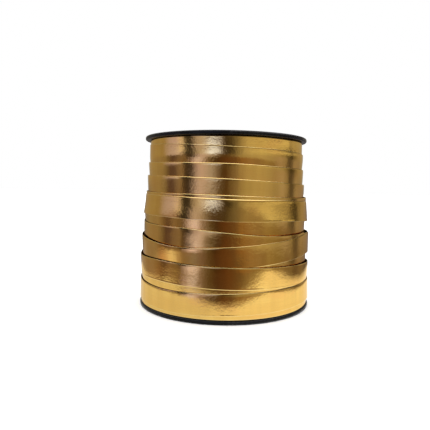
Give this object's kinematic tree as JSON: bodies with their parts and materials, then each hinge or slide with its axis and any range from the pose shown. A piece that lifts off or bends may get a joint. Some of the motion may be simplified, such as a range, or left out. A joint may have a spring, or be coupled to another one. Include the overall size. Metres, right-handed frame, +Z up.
{
  "type": "ribbon spool",
  "caption": "Metallic gold curling ribbon wound in overlapping turns on a black spool with thin round flanges and an open spindle bore.",
  "frame": {"origin": "on the spindle bore's axis, in the plane of the lower flange's outer face, which the spool stands on", "axes": "+Z up the spindle bore, from the lower flange to the upper flange; the front of the spool faces -Y, and the ribbon's free end is taped down at the back, towards +Y"},
  "size_m": [0.0906, 0.0907, 0.088],
  "materials": {
    "spool_plastic": "gloss",
    "ribbon_film": "polished",
    "clear_tape": "gloss"
  },
  "bodies": {
    "root": {"lower_flange": "spool_plastic", "upper_flange": "spool_plastic", "core_tube": "spool_plastic", "core_tape": "clear_tape", "ribbon_winding": "ribbon_film", "ribbon_last_layer": "ribbon_film", "ribbon_free_end": "ribbon_film", "end_tape": "clear_tape"}
  },
  "joints": []
}
